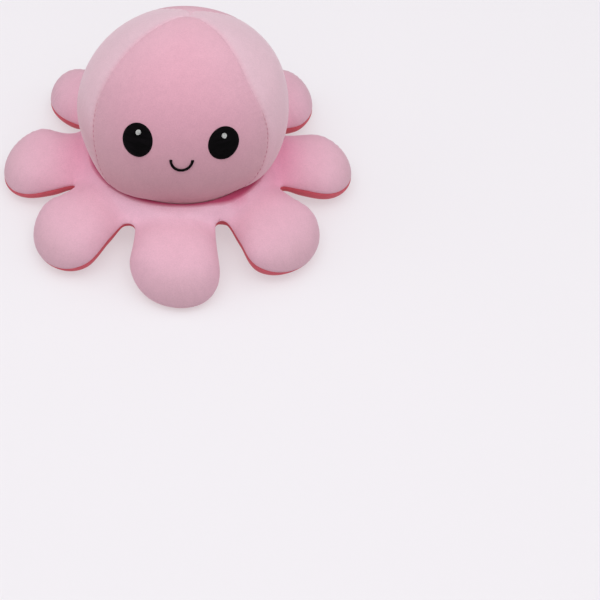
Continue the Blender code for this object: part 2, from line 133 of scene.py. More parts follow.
# Neck and foot
CONTACT_RADIUS = 0.0468
LIP_RADIUS = 0.0018
LIP_DEPTH = 0.0008
NECK_GAP = 0.0002
FOOT_OUTER = 0.0500
FOOT_INNER = 0.0380
MOUTH_RADIUS = 0.0330
MOUTH_RISE = 0.0050
MOUTH_SEAM = 0.0079
SHOULDER_RUN = 0.0140

# Painted shade in the crease at the neck, a dark red band on the skirt: its width at some angles round the toy
CREASE_TURNS = (-200.0, -175.0, -158.0, -138.0, -116.0, -91.0, -70.0, -56.0, -44.0, -28.0, -14.0, 10.0)
CREASE_WIDTHS = (0.0024, 0.0062, 0.0068, 0.0064, 0.0047, 0.0036, 0.0039, 0.0061, 0.0067, 0.0058, 0.0034, 0.0024)
CREASE_FADE = 0.0022
CREASE_SHADE_EDGE = 0.05
# Painted shade: deeper pink near the neck on the limbs to the left and right, a share for each side, and a
# painted shadow patch beside the chin
LIMB_SHADE_SHARES = (0.75, 0.95)
FOLD_SHADOW_PLACE = (0.0320, -0.0385)
FOLD_SHADOW_SIZE = 0.0060

# Head. Each seam has its angle round the crown, how far it turns below and near the crown,
# and how far down the turn near the crown reaches.
GORES = ("front", "left", "back", "right")
HEAD_RADIUS = 0.0581
HEAD_HALF_HEIGHT = 0.0513
CROWN_TILT = math.radians(21.5)
CROWN_LEAN = math.radians(1.2)
SEAMS = (
    (-146.0, 1.5, 0.0, 0.6),
    (-47.5, 11.5, 7.0, 0.6),
    (40.0, 0.0, 43.0, 0.17),
    (128.0, 0.0, -43.0, 0.17),
)
BOW_START = 0.9
BOW_RUN = 0.9
SEAM_DEPTH = 0.0005
SEAM_WIDTH = 0.0028
SEAM_BLEND_SHARE = 0.4
SEAM_BLEND_REACH = 0.0020
# Painted sheen: the front gore takes the side gores' paler tones towards its seams, and the crown takes them
# over its top
SEAM_SHEEN_SHARE = 0.25
SEAM_SHEEN_REACH = 0.0200
CROWN_SHEEN_REACH = 0.18
PRICK_SIZE = 0.0007
PRICK_ROWS = 3
PRICK_SHARE = 0.94
PRICK_TOP = 0.72
PRICK_RUN = 0.10
# Painted shade: the right gore takes the front gore's darker tones low down
SIDE_SHADE_SHARE = 0.85
SIDE_SHADE_TOP = 0.62
SIDE_SHADE_RUN = 0.25
PUCKER = 0.00014
PUCKER_LENGTH = 0.0042
PUCKER_REACH = 0.0060
LUMP = 0.0004
SHIFT = 0.0007
LEAN = 0.0020
LEAN_RUN = 0.0350
CROWN_DROP = 0.0012
CROWN_DROP_START = 0.0220
CROWN_DROP_RUN = 0.0200
CHEEKS = (0.0036, 0.0027)
CHEEK_FOOT = -0.0315
CHEEK_LEVEL = -0.0240
CHEEK_RUN = 0.0300
CHIN_ANGLES = tuple(math.radians(x) for x in (24.0, 45.0))
CHIN_POWERS = (2.0, 4.0)
CHIN_IN = 0.0012
CHEEK_SIDES = tuple(math.radians(x) for x in (40.0, 50.0))
CHEEK_SIDE_RUN = math.radians(34.0)
CHEEK_SIDE_SHARES = (0.0, 0.4)

# Face, from the centre of the head
EYES = {"left": (0.0222, 0.0190), "right": (-0.0234, 0.0190)}
EYE_SIZES = {"left": (0.0179, 0.0185), "right": (0.0173, 0.0189)}
EYE_LEANS = {"left": math.radians(11), "right": math.radians(23)}
GLINTS = {"left": (0.0214, 0.0231), "right": (-0.0225, 0.0233)}
GLINT_SIZE = 0.0027
SMILE = (0.0007, 0.0128)
SMILE_SPAN = 0.0115
SMILE_DROP = 0.0063
SMILE_STROKE = 0.0014
SMILE_FLARE = 0.35
SMILE_FLARE_RUN = 0.10
THREAD_RISE = 0.0009
THREAD_SINK = 0.0005
THREAD_PITCH = 0.00042
THREAD_RIDGE = 0.00007

# Pocket
POCKET_DEPTH = 0.0500
POCKET_SEAM = 0.0082
POCKET_SEAMS = tuple((angle, 0.0, 0.0, 1.0) for angle in (-142.0, -38.0, 38.0, 142.0))
FOLD_DEPTH = 0.0022
POCKET_EYES = {"left": (0.0130, 0.0230), "right": (-0.0130, 0.0230)}
POCKET_EYE_SIZE = (0.0130, 0.0150)
POCKET_BROW_RISE = 0.0020
POCKET_BROW_SLANT = math.radians(14)
POCKET_GLINTS = {"left": (0.0152, 0.0214), "right": (-0.0108, 0.0214)}
FROWN = (0.0, 0.0110)
FROWN_SPAN = 0.0094
FROWN_DROP = 0.0044

# Colours, as linear red, green and blue, and the place of each tone along the run of painted light and shade,
# from the neck out to the limb tips and up to the crown
# Limbs: dark red painted shade in the neck crease, painted light just outside it where the head's shadow falls,
# then painted shade darker towards the tips
LIMB_TONES = (
    (0.0, (0.54, 0.08, 0.18)),
    (0.05, (0.88, 0.53, 0.66)),
    (0.15, (0.87, 0.54, 0.67)),
    (0.32, (0.76, 0.435, 0.54)),
    (0.75, (0.695, 0.405, 0.50)),
    (1.0, (0.65, 0.395, 0.47)),
)
# Limbs to the left and right and the patch beside the chin: painted shade, deeper pink near the neck
SHADED_LIMB_TONES = (
    (0.0, (0.54, 0.08, 0.18)),
    (0.05, (0.80, 0.29, 0.44)),
    (0.20, (0.80, 0.32, 0.47)),
    (0.50, (0.75, 0.41, 0.52)),
    (0.75, (0.71, 0.415, 0.51)),
    (1.0, (0.65, 0.395, 0.47)),
)
# Front and back gores: painted shade, dark red at the neck and darker towards the chin, lighter towards the
# crown
FRONT_TONES = (
    (0.0, (0.36, 0.05, 0.10)),
    (0.015, (0.44, 0.09, 0.16)),
    (0.05, (0.59, 0.29, 0.34)),
    (0.35, (0.575, 0.315, 0.37)),
    (0.75, (0.61, 0.318, 0.402)),
    (1.0, (0.69, 0.366, 0.458)),
)
# Side gores: paler and greyer than the front for a painted sheen, with painted shade dark red at the neck
SIDE_TONES = (
    (0.0, (0.36, 0.06, 0.12)),
    (0.015, (0.46, 0.12, 0.19)),
    (0.05, (0.62, 0.33, 0.40)),
    (0.30, (0.66, 0.37, 0.44)),
    (0.60, (0.70, 0.455, 0.53)),
    (1.0, (0.69, 0.475, 0.55)),
)
# Coral underside and pocket: painted shade, darker and redder towards the neck and the pocket's mouth
CORAL_TONES = ((0.0, (0.54, 0.08, 0.11)), (1.0, (0.60, 0.115, 0.15)))
PINK_SHEEN = (1.0, 0.92, 0.96, 1.0)
CORAL_SHEEN = (1.0, 0.80, 0.82, 1.0)

# Mesh counts
ARC_ROWS = 8
SIDE_ROWS = 14
TIP_ROWS = 34
RING_ROWS = 16
FLANK_ROWS = 4
COLUMNS = 64
GORE_ROWS = 140
GORE_COLUMNS = 96
POCKET_ROWS = 60
POCKET_COLUMNS = 48
EYE_COLUMNS = 40
STROKE_COLUMNS = 12


def smooth_step(share):
    share = np.clip(share, 0.0, 1.0)
    return share * share * (3.0 - 2.0 * share)


def unit(vectors):
    length = np.linalg.norm(vectors, axis=-1, keepdims=True)
    return vectors / np.maximum(length, 1e-12)


# Materials


def node(tree, kind, **values):
    made = tree.nodes.new(kind)
    for name, value in values.items():
        if name in made.inputs:
            made.inputs[name].default_value = value
        else:
            setattr(made, name, value)
    return made


def new_material(name):
    material = bpy.data.materials.new(name)
    material.use_nodes = True
    tree = material.node_tree
    shader = tree.nodes["Principled BSDF"]
    return material, tree, shader


def noise(tree, coordinates, scale, detail, stretch=(1.0, 1.0, 1.0)):
    """A noise in the toy's own frame, with its features drawn out along an axis."""
    mapping = node(tree, "ShaderNodeMapping", Scale=stretch)
    texture = node(tree, "ShaderNodeTexNoise", Scale=scale, Detail=detail, Roughness=0.6)
    tree.links.new(coordinates.outputs["Object"], mapping.inputs["Vector"])
    tree.links.new(mapping.outputs["Vector"], texture.inputs["Vector"])
    return texture.outputs["Fac"]


def link_or_set(tree, socket, value):
    if isinstance(value, bpy.types.NodeSocket):
        tree.links.new(value, socket)
    else:
        socket.default_value = value


def mix_colours(tree, factor, low, high, mode="MIX"):
    mix = tree.nodes.new("ShaderNodeMix")
    mix.data_type = "RGBA"
    mix.blend_type = mode
    link_or_set(tree, mix.inputs[0], factor)
    link_or_set(tree, mix.inputs[6], low)
    link_or_set(tree, mix.inputs[7], high)
    return mix.outputs[2]


def spread(tree, value, low, high, to_low=0.0, to_high=1.0):
    """Map a range of a value to another one, held at its ends."""
    mapped = tree.nodes.new("ShaderNodeMapRange")
    mapped.inputs["From Min"].default_value = low
    mapped.inputs["From Max"].default_value = high
    mapped.inputs["To Min"].default_value = to_low
    mapped.inputs["To Max"].default_value = to_high
    tree.links.new(value, mapped.inputs["Value"])
    return mapped.outputs["Result"]


def tones(tree, value, stops):
    """A run of colours along a value, as pairs of a place and its colour."""
    ramp = tree.nodes.new("ShaderNodeValToRGB")
    tree.links.new(value, ramp.inputs["Fac"])
    elements = ramp.color_ramp.elements
    while len(elements) < len(stops):
        elements.new(0.5)
    for element, (place, colour) in zip(elements, stops):
        element.position = place
        element.color = (*colour, 1.0)
    return ramp.outputs["Color"]


def plush(name, stops, sheen, sheen_colour, beside=None):
    """Short-pile plush: brushed patches, clumps of pile and single tufts, with a soft sheen.

    Its colours follow an attribute that paints light and shade. A second run of colours, also painted light and
    shade, takes over where the attribute "seam" says so.
    """
    material, tree, shader = new_material(name)
    coordinates = tree.nodes.new("ShaderNodeTexCoord")
    shading_and_pricks = node(tree, "ShaderNodeAttribute", attribute_name="shading_and_pricks")
    patches = noise(tree, coordinates, 55.0, 3.0)
    strokes = noise(tree, coordinates, 260.0, 4.0, (1.0, 1.0, 0.35))
    tufts = noise(tree, coordinates, 1400.0, 3.0)
    colour = tones(tree, shading_and_pricks.outputs["Fac"], stops)
    if beside is not None:
        seam = node(tree, "ShaderNodeAttribute", attribute_name="seam")
        over = tones(tree, shading_and_pricks.outputs["Fac"], beside)
        colour = mix_colours(tree, seam.outputs["Fac"], colour, over)
    shade = spread(tree, patches, 0.3, 0.7, 0.985, 1.015)
    brush = spread(tree, strokes, 0.3, 0.7, 0.98, 1.02)
    grain = spread(tree, tufts, 0.3, 0.7, 0.95, 1.05)
    for factor in (shade, brush, grain):
        scale = tree.nodes.new("ShaderNodeVectorMath")
        scale.operation = "SCALE"
        tree.links.new(colour, scale.inputs[0])
        tree.links.new(factor, scale.inputs["Scale"])
        colour = scale.outputs["Vector"]
    tree.links.new(colour, shader.inputs["Base Color"])
    shader.inputs["Roughness"].default_value = 0.92
    shader.inputs["Specular IOR Level"].default_value = 0.15
    shader.inputs["Sheen Weight"].default_value = sheen
    shader.inputs["Sheen Roughness"].default_value = 0.45
    shader.inputs["Sheen Tint"].default_value = sheen_colour
    soft = node(tree, "ShaderNodeBump", Strength=0.35, Distance=0.0006)
    fine = node(tree, "ShaderNodeBump", Strength=0.45, Distance=0.00025)
    tree.links.new(strokes, soft.inputs["Height"])
    tree.links.new(soft.outputs["Normal"], fine.inputs["Normal"])
    tree.links.new(tufts, fine.inputs["Height"])
    tree.links.new(fine.outputs["Normal"], shader.inputs["Normal"])
    return material


def thread(name, colour, highlight, roughness, gloss):
    """Satin stitch: glossy filaments with a slight change of tone from stitch to stitch."""
    material, tree, shader = new_material(name)
    coordinates = tree.nodes.new("ShaderNodeTexCoord")
    strands = noise(tree, coordinates, 900.0, 2.0, (0.12, 0.12, 1.0))
    filaments = noise(tree, coordinates, 5200.0, 2.0, (0.05, 0.05, 1.0))
    tone = mix_colours(tree, spread(tree, strands, 0.35, 0.7), colour, highlight)
    tree.links.new(tone, shader.inputs["Base Color"])
    shader.inputs["Roughness"].default_value = roughness
    shader.inputs["Specular IOR Level"].default_value = gloss
    bump = node(tree, "ShaderNodeBump", Strength=0.3, Distance=0.00008)
    tree.links.new(filaments, bump.inputs["Height"])
    tree.links.new(bump.outputs["Normal"], shader.inputs["Normal"])
    return material


# Meshes from grids of points


def grid_normals(grid, outward):
    """Unit normals of a grid of points, on the side that the outward points lead to."""
    along = np.gradient(grid, axis=0)
    across = np.gradient(grid, axis=1)
    normals = unit(np.cross(along, across))
    side = np.sign(np.sum(normals * (grid - outward)))
    return normals * side


def grid_faces(rows, columns, start, flip):
    index = np.arange(rows * columns).reshape(rows, columns) + start
    corners = (index[:-1, :-1], index[:-1, 1:], index[1:, 1:], index[1:, :-1])
    faces = np.stack([corner.ravel() for corner in corners], axis=1)
    return faces[:, ::-1] if flip else faces


def rim_of(rows, columns):
    index = np.arange(rows * columns).reshape(rows, columns)
    return np.concatenate([index[0, :-1], index[:-1, -1], index[-1, :0:-1], index[:0:-1, 0]])


def shell(name, outer, inner, normals, shading_and_pricks, material, seam=None):
    """A closed skin between two grids of points, shaded by the given normals of the outer one."""
    rows, columns = outer.shape[:2]
    count = rows * columns
    points = np.concatenate([outer.reshape(-1, 3), inner.reshape(-1, 3)])
    rim = rim_of(rows, columns)
    after = np.roll(rim, -1)
    walls = np.stack([rim, rim + count, after + count, after], axis=1)
    flip = bool(np.sum(grid_normals(outer, inner) * normals) < 0)
    faces = np.concatenate([
        grid_faces(rows, columns, 0, flip),
        grid_faces(rows, columns, count, not flip),
        walls[:, ::-1] if flip else walls,
    ])
    mesh = bpy.data.meshes.new(name)
    mesh.from_pydata(points.tolist(), [], faces.tolist())
    facing = np.concatenate([normals.reshape(-1, 3), -normals.reshape(-1, 3)])
    stored = mesh.attributes.new("facing", "FLOAT_VECTOR", "POINT")
    stored.data.foreach_set("vector", facing.astype(np.float32).ravel())
    for kind, values in (("shading_and_pricks", shading_and_pricks), ("seam", seam)):
        if values is not None:
            stored = mesh.attributes.new(kind, "FLOAT", "POINT")
            stored.data.foreach_set("value", np.tile(values.ravel(), 2).astype(np.float32))
    bm = bmesh.new()
    bm.from_mesh(mesh)
    bmesh.ops.remove_doubles(bm, verts=bm.verts[:], dist=1e-7)
    bmesh.ops.recalc_face_normals(bm, faces=bm.faces[:])
    if bm.calc_volume(signed=True) < 0:
        bmesh.ops.reverse_faces(bm, faces=bm.faces[:])
    bm.to_mesh(mesh)
    bm.free()
    mesh.shade_smooth()
    kept = np.zeros(len(mesh.vertices) * 3, np.float32)
    mesh.attributes["facing"].data.foreach_get("vector", kept)
    mesh.normals_split_custom_set_from_vertices(kept.reshape(-1, 3).tolist())
    mesh.attributes.remove(mesh.attributes["facing"])
    mesh.materials.append(material)
    made = bpy.data.objects.new(name, mesh)
    bpy.context.scene.collection.objects.link(made)
    return made


# Skirt outline


class Limb:
    """One limb of the skirt, with the crotches on its two sides, seen from above."""

    def __init__(self, index, place, heading, crotches, reach):
        self.index = index
        self.place = np.array(place, float)
        self.heading = heading
        self.along = np.array([math.cos(heading), math.sin(heading)])
        self.across = np.array([-self.along[1], self.along[0]])
        self.reach = reach * LIMB_REACH_SHARES[index]
        self.crotches = crotches
        self.outlines = {side: self.outline(side) for side in (1, -1)}

    def outline(self, side):
        """Points from the crotch round the edge to the tip, on one side of the limb."""
        crotch, heading, fillet = self.crotches[side]
        angle = side * (heading - self.heading)
        root = crotch * math.sin(angle) - fillet * (1.0 - math.sin(angle))
        centre = (crotch + fillet) * np.array([math.cos(angle), math.sin(angle)])
        turn = np.linspace(math.pi + angle, 1.5 * math.pi, ARC_ROWS + 1)
        arc = centre + fillet * np.stack([np.cos(turn), np.sin(turn)], axis=1)
        tip_start = self.reach - TIP_LENGTH
        side_run = np.linspace(arc[-1, 0], tip_start, SIDE_ROWS + 1)[1:]
        phase = np.linspace(0.0, math.pi / 2, TIP_ROWS + 1)[1:]
        run = np.concatenate([side_run, tip_start + TIP_LENGTH * np.sin(phase)])
        fade = np.concatenate([np.ones(SIDE_ROWS), np.sqrt(1.0 - np.sin(phase) ** TIP_POWER)])
        swell = smooth_step((run - arc[-1, 0]) / (WIDEST - arc[-1, 0]))
        wide = HALF_WIDTH * LIMB_WIDTH_SHARES[self.index]
        half = (root + (wide - root) * swell) * fade
        half[-1] = 0.0
        run = run + TIP_SLANT_SHARES[self.index] * side * half * swell
        local = np.concatenate([arc, np.stack([run, half], axis=1)])
        return local[:, :1] * self.along + side * local[:, 1:] * self.across


def lay_out_limbs(joints, reach):
    """The limbs, each turned a little from its joint, with a crotch between every two."""
    places = [joint["pos_m"] for joint in joints]
    headings = [math.atan2(y, x) + turn for (x, y, z), turn in zip(places, LIMB_TURNS)]
    count = len(joints)
    crotches = []
    for index, heading in enumerate(headings):
        gap = (headings[(index + 1) % count] - heading) % (2 * math.pi)
        radius = CROTCH_RADIUS * CROTCH_SHARES[index]
        crotches.append((radius, heading + gap / 2 + CROTCH_TURNS[index], CROTCH_FILLETS[index]))
    limbs = []
    for index, (place, heading) in enumerate(zip(places, headings)):
        before_radius, before, fillet = crotches[index - 1]
        gap = (heading - before) % (2 * math.pi)
        sides = {1: crotches[index], -1: (before_radius, heading - gap, fillet)}
        limbs.append(Limb(index, place, heading, sides, reach))
    return limbs


def full_outline(limbs):
    """The closed edge of the skirt, counter-clockwise from above."""
    points = []
    for limb in limbs:
        points.append(limb.outlines[-1][:-1])
        points.append(limb.outlines[1][::-1][:-1])
    return np.concatenate(points)


def edge_depth(points, outline):
    """Smooth depth of points inside the outline: near the edge, the distance to it.

    Every stretch of the edge adds its share of 1 / distance cubed, which two straight
    edges give in closed form, so that there is no crease midway between them.
    """
    starts = outline
    ends = np.roll(outline, -1, axis=0)
    lengths = np.linalg.norm(ends - starts, axis=1)
    tangents = (ends - starts) / lengths[:, None]
    total = np.zeros(len(points))
    for start, tangent, length in zip(starts, tangents, lengths):
        offset = points - start
        before = -(offset @ tangent)
        after = length + before
        aside = (offset[:, 0] * tangent[1] - offset[:, 1] * tangent[0]) ** 2
        aside = np.maximum(aside, 1e-14)
        near = after / np.sqrt(aside + after ** 2) - before / np.sqrt(aside + before ** 2)
        far = 0.5 * np.abs(1.0 / np.maximum(before ** 2, 1e-14) - 1.0 / np.maximum(after ** 2, 1e-14))
        in_line = (before * after > 0) & (aside < 1e-6 * np.minimum(before ** 2, after ** 2))
        total += np.where(in_line, far, near / aside)
    return np.sqrt(2.0 / total)


class Sector:
    """The points of one limb and its share of the ring, as a grid seen from above."""

    def __init__(self, limb, outline, crotch_points, inner_radius):
        self.limb = limb
        left, right = limb.outlines[1], limb.outlines[-1]
        radii = {side: limb.crotches[side][0] for side in (1, -1)}
        middle = (radii[1] + radii[-1]) / 2
        step = np.linalg.norm(np.diff(left, axis=0), axis=1)
        share = np.concatenate([[0.0], np.cumsum(step)]) / step.sum()
        reach = middle + (limb.reach - middle) * np.sin(math.pi / 2 * share)
        axis = reach[:, None] * limb.along
        ring = np.linspace(0.0, 1.0, RING_ROWS + 1)[:-1, None]
        left = np.concatenate([self.spoke(left[0], inner_radius, ring), left])
        right = np.concatenate([self.spoke(right[0], inner_radius, ring), right])
        axis = np.concatenate([self.spoke(axis[0], inner_radius, ring), axis])
        share = np.sin(np.linspace(-math.pi / 2, math.pi / 2, COLUMNS + 1))[None, :, None]
        bend = (left + right)[:, None] / 2 - axis[:, None]
        self.plan = axis[:, None] + share * (left - right)[:, None] / 2 + share ** 2 * bend
        depth = edge_depth(self.plan.reshape(-1, 2), outline).reshape(self.plan.shape[:2])
        depth[RING_ROWS:, 0] = depth[RING_ROWS:, -1] = 0.0
        depth[-1] = 0.0
        self.depth = depth
        ratio = np.minimum(depth / FULL_DEPTH, 1.0)
        self.fullness = np.sqrt(1.0 - (1.0 - ratio) ** 2)
        self.radius = np.linalg.norm(self.plan, axis=2)
        self.set_heights(crotch_points)

    def set_heights(self, crotch_points):
        """Heights of the seam's surface and of the two skins, thin between the limbs."""
        near = np.zeros(self.radius.shape)
        thin = np.zeros(self.radius.shape)
        drop = np.full(self.radius.shape, SEAM_DROP_SHARE)
        shares = zip(crotch_points, CROTCH_RAISE_SHARES, LOWER_THIN_SHARES)
        for point, lift, thin_share in shares:
            gap = np.linalg.norm(self.plan - point, axis=2)
            out = np.maximum((self.plan - point) @ unit(point), 0.0)
            near += np.exp(-(gap / CROTCH_THIN_REACH) ** 2)
            thin += thin_share * np.exp(-(gap / CROTCH_THIN_REACH) ** 2 - (out / LOWER_THIN_RUN) ** 2)
            drop -= (SEAM_DROP_SHARE + lift) * np.exp(-(gap / CROTCH_RAISE_REACH) ** 2)
        along = self.plan @ self.limb.along
        tipward = smooth_step((along - SEAM_DROP_START) / (self.limb.reach - SEAM_DROP_START))
        lowest = TIP_DROP_SHARES[self.limb.index]
        drop += np.maximum(lowest - drop, 0.0) * tipward
        aside = np.clip(self.plan @ self.limb.across / HALF_WIDTH, -1.0, 1.0)
        tucked = smooth_step((along - TUCK_START) / TUCK_RUN)
        right, left = SIDE_LIFT_SHARES[self.limb.index]
        drop -= tucked * np.where(aside < 0.0, -right * aside, left * aside)
        run = np.clip(along - SAG_START, 0.0, None)
        eased = np.where(run < SAG_RUN, run ** 2 / (2 * SAG_RUN), run - SAG_RUN / 2)
        deep = self.limb.place[2]
        self.middle = deep - eased * math.tan(SAG_ANGLE)
        self.middle = self.middle - drop * HALF_THICKNESS * (1.0 - self.fullness)
        ring = smooth_step((RING_REACH - self.radius) / (RING_REACH - CONTACT_RADIUS))
        outward = smooth_step((self.radius - THIN_START) / THIN_RUN)
        above = (HALF_THICKNESS + RING_RISE * ring) * (1.0 - UPPER_THIN_SHARE * near * outward)
        self.upper = self.middle + above * self.fullness ** (1.0 - RING_FILL_SHARE * ring)
        self.upper -= tucked * self.puckers(along - WIDEST)
        shoulder = smooth_step((self.radius - FOOT_OUTER) / SHOULDER_RUN)
        below = (deep + (HALF_THICKNESS - deep) * shoulder) * (1.0 - thin)
        right, left = UNDER_POWERS[self.limb.index]
        power = (right * (1.0 - aside) + left * (1.0 + aside)) / 2
        filled = self.fullness ** (1.0 + (power - 1.0) * tucked)
        self.lower = np.maximum(self.middle - below * filled, FLOOR_GAP)

    def puckers(self, along):
        """Depth of the small folds that the stitches draw up round the tip, uneven along it."""
        turn = np.arctan2(self.plan @ self.limb.across, along)
        fold = 1.0 + np.sin(EDGE_PUCKER_COUNT * turn + 1.3 * np.sin(5 * turn + self.limb.index))
        uneven = 0.6 + 0.4 * np.sin(3 * turn + 2.0 * self.limb.index)
        near = np.exp(-(self.depth / EDGE_PUCKER_REACH) ** 2)
        return EDGE_PUCKER * fold * uneven * near * self.fullness

    @staticmethod
    def spoke(end, inner_radius, shares):
        reach = np.linalg.norm(end)
        return (inner_radius + (reach - inner_radius) * shares) * end / reach

    def groove(self, heights, outline):
        """Draw the points near the seam in towards the stuffing."""
        level = np.abs(heights - self.middle)
        amount = EDGE_GROOVE * np.clip(1.0 - level / EDGE_GROOVE_REACH, 0.0, 1.0) ** 2
        amount[self.depth > FULL_DEPTH / 4] = 0.0
        tangent = np.roll(outline, -1, axis=0) - np.roll(outline, 1, axis=0)
        inward = unit(np.stack([-tangent[:, 1], tangent[:, 0]], axis=1))
        plan = self.plan.copy()
        for row, column in np.argwhere(amount > 0):
            point = plan[row, column]
            nearest = np.argmin(np.sum((outline - point) ** 2, axis=1))
            plan[row, column] = point + inward[nearest] * amount[row, column]
        return plan


def skirt_top(sector, outline, head):
    """The upper skin: over the limb and the ring, down the lip to the seam at the neck."""
    inside = np.clip((CONTACT_RADIUS + LIP_RADIUS - sector.radius) / LIP_RADIUS, 0.0, 1.0)
    heights = sector.upper - LIP_DEPTH * (1.0 - np.sqrt(1.0 - inside ** 2))
    plan = sector.groove(heights, outline)
    top = np.concatenate([plan, heights[..., None]], axis=2)
    levels = np.linspace(head.neck_height, heights[0].min(), FLANK_ROWS + 1)[:-1]
    flank = []
    for level in levels:
        radius = head.radius_at(level) + NECK_GAP
        around = unit(plan[0]) * radius
        flank.append(np.concatenate([around, np.full((COLUMNS + 1, 1), level)], axis=1))
    return np.concatenate([np.array(flank), top])


def skirt_bottom(sector, outline):
    """The underside: from the seam round the foot and up the lip of the pocket."""
    plan = sector.groove(sector.lower, outline)
    return np.concatenate([plan, sector.lower[..., None]], axis=2)


def mouth_lip(sector):
    """Rows from the pocket's seam down the lip and along the foot to the ring."""
    turn = np.linspace(0.0, math.pi / 2, FLANK_ROWS + 1)
    lip = FOOT_INNER - MOUTH_RADIUS
    radii = FOOT_INNER - lip * np.cos(turn)
    levels = MOUTH_RISE - (MOUTH_RISE - FLOOR_GAP) * np.sin(turn)
    radii = np.concatenate([[MOUTH_RADIUS], radii])
    levels = np.concatenate([[MOUTH_SEAM], levels])
    foot = np.linspace(0.0, 1.0, FLANK_ROWS + 1)[1:-1]
    rises = np.concatenate([np.zeros(len(radii)), smooth_step(foot)])
    radii = np.concatenate([radii, FOOT_INNER + (sector.radius[0, 0] - FOOT_INNER) * foot])
    levels = np.concatenate([levels, np.full(len(foot), FLOOR_GAP)])
    around = unit(sector.plan[0])
    rows = []
    for radius, level, rise in zip(radii, levels, rises):
        height = level + (sector.lower[0] - FLOOR_GAP) * rise
        rows.append(np.concatenate([around * radius, height[:, None]], axis=1))
    return np.array(rows)


def join_normals(normals, rows):
    """Give neighbouring sectors the same normals along the line where they meet."""
    count = len(normals)
    for index in range(count):
        after = (index + 1) % count
        mean = unit(normals[index][:rows, -1] + normals[after][:rows, 0])
        normals[index][:rows, -1] = mean
        normals[after][:rows, 0] = mean


def build_skirt(frame, head, finishes):
    reach = float(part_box("limb_3_upper_skin")[1].x)
    joints = sorted(frame["joints"], key=lambda joint: joint["name"])
    limbs = lay_out_limbs(joints, reach)
    outline = full_outline(limbs)
    crotch_points = [limb.outlines[1][0] for limb in limbs]
    sectors = [Sector(limb, outline, crotch_points, CONTACT_RADIUS) for limb in limbs]
    tops = [skirt_top(sector, outline, head) for sector in sectors]
    unders = [np.concatenate([mouth_lip(s), skirt_bottom(s, outline)]) for s in sectors]
    for kind, grids, extra in (("upper", tops, FLANK_ROWS), ("under", unders, 2 * FLANK_ROWS + 1)):
        normals = []
        for sector, grid in zip(sectors, grids):
            side = 1.0 if kind == "upper" else -1.0
            around = grid_normals(grid, grid - np.array([0.0, 0.0, side]))
            around[-1] = around[-2].mean(axis=0)
            normals.append(unit(around))
        join_normals(normals, extra + RING_ROWS + 1)
        for sector, grid, facing in zip(sectors, grids, normals):
            add_sector(kind, sector, grid, facing, extra, finishes)


def add_sector(kind, sector, grid, facing, extra, finishes):
    name = f"limb_{sector.limb.index + 1}"
    pressed = np.ones(grid.shape[:2])
    pressed[extra:] = np.clip(sector.depth / PRESSED_REACH, PRESSED_SHARE, 1.0)
    inner = grid - facing * (SKIN * pressed)[..., None]
    # The run of painted light and shade goes from the neck out to the limb's tip, with a dark red band of
    # painted shade in the crease at the neck
    radius = np.linalg.norm(grid[..., :2], axis=2)
    out = radius - CONTACT_RADIUS
    turn = np.degrees(np.arctan2(grid[..., 1], grid[..., 0]))
    crease = np.interp(turn, CREASE_TURNS, CREASE_WIDTHS, period=360.0)
    shading_and_pricks = np.clip(out / (sector.limb.reach - CONTACT_RADIUS), CREASE_SHADE_EDGE, 1.0)
    crease_shade = np.clip((crease - out) / CREASE_FADE, 0.0, 1.0)
    shading_and_pricks = np.where(crease_shade > 0, CREASE_SHADE_EDGE * (1.0 - crease_shade), shading_and_pricks)
    if kind == "upper":
        # Painted shade: deeper pink on the limbs to the left and right, and a painted shadow patch beside the
        # chin
        limb_shade = (grid[..., 0] / radius) ** 4 * np.where(grid[..., 0] < 0, *LIMB_SHADE_SHARES)
        from_fold_shadow = np.linalg.norm(grid[..., :2] - FOLD_SHADOW_PLACE, axis=2)
        limb_shade = np.maximum(limb_shade, np.exp(-(from_fold_shadow / FOLD_SHADOW_SIZE) ** 2))
        piece = shell("plush_" + name, grid, inner, facing, shading_and_pricks, finishes["outer"], limb_shade)
        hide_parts(name + "_upper_skin", name + "_filling")
        if sector.limb.index == 0:
            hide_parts("skirt_upper_skin", "skirt_filling")
    else:
        piece = shell("plush_under_" + name, grid, inner, facing, shading_and_pricks, finishes["inner"])
        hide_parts(name + "_lower_skin")
        if sector.limb.index == 0:
            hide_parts("skirt_lower_skin")
    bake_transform(piece)


# Head


